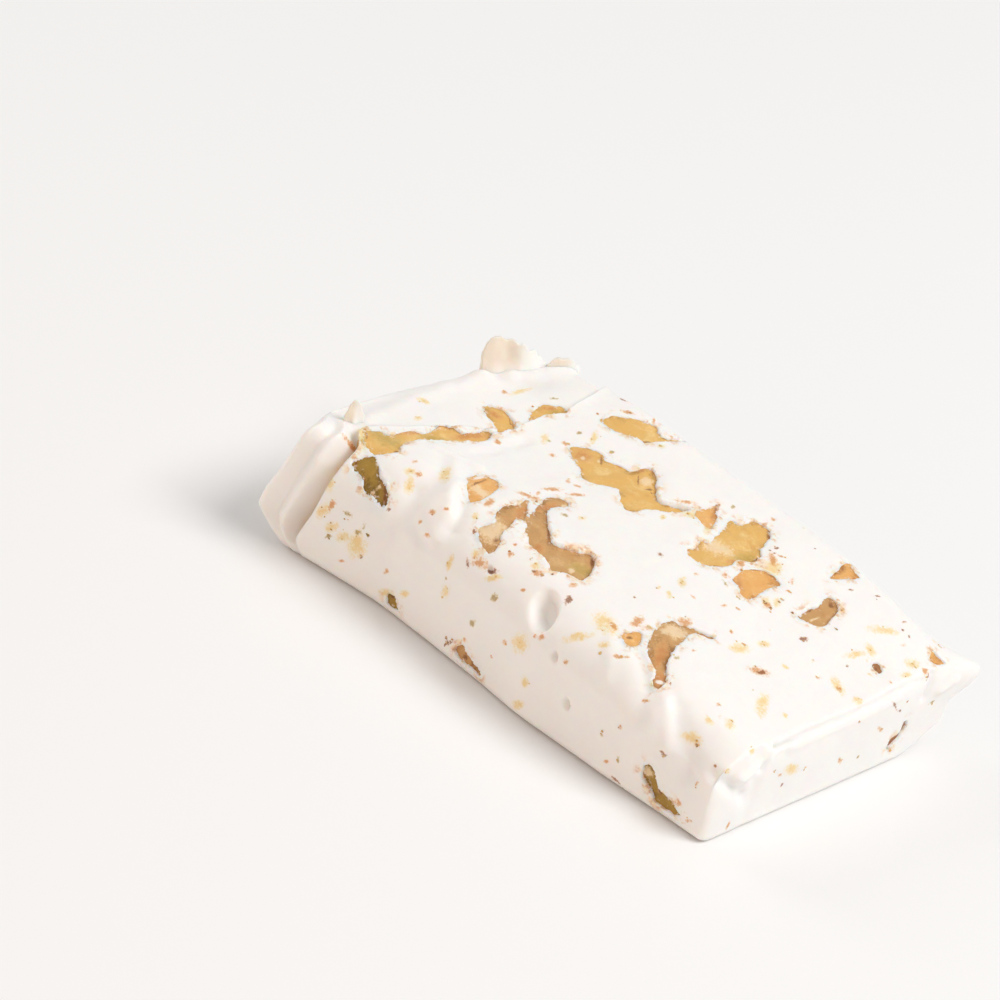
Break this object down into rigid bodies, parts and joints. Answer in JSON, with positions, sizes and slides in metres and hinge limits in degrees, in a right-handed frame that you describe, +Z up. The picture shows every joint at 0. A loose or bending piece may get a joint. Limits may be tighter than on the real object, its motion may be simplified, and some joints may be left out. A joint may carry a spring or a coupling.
{
  "type": "walnut halva bar",
  "caption": "Bar of white whipped nougat halva with folded ends, torn edges and pieces of walnut showing in every side, lying flat.",
  "frame": {"origin": "middle of the bar's footprint box, on the surface it lies on", "axes": "+X along the bar from its folded end with the wing to its thin end, +Y across it, +Z up through its thickness"},
  "size_m": [0.0898, 0.061, 0.0248],
  "materials": {
    "nougat": "satin, slightly translucent sugar nougat",
    "walnut_gold": "oily broken nut",
    "walnut_olive": "oily broken nut",
    "walnut_tan": "oily broken nut",
    "walnut_orange": "oily broken nut",
    "walnut_brown": "oily broken nut"
  },
  "bodies": {
    "root": {"nougat": "nougat", "walnut_01": "walnut_gold", "walnut_02": "walnut_olive", "walnut_03": "walnut_gold", "walnut_04": "walnut_gold", "walnut_05": "walnut_gold", "walnut_06": "walnut_orange", "walnut_07": "walnut_tan", "walnut_08": "walnut_tan", "walnut_09": "walnut_orange", "walnut_10": "walnut_gold", "walnut_11": "walnut_orange", "walnut_12": "walnut_tan", "walnut_13": "walnut_tan", "walnut_14": "walnut_orange", "walnut_15": "walnut_orange", "walnut_16": "walnut_orange", "walnut_17": "walnut_brown", "walnut_18": "walnut_olive", "walnut_19": "walnut_tan", "walnut_20": "walnut_olive", "walnut_21": "walnut_brown", "walnut_22": "walnut_gold", "walnut_23": "walnut_olive", "walnut_24": "walnut_tan", "walnut_25": "walnut_gold", "walnut_26": "walnut_gold", "walnut_27": "walnut_tan", "walnut_28": "walnut_olive", "walnut_29": "walnut_orange", "walnut_30": "walnut_gold"}
  },
  "joints": []
}
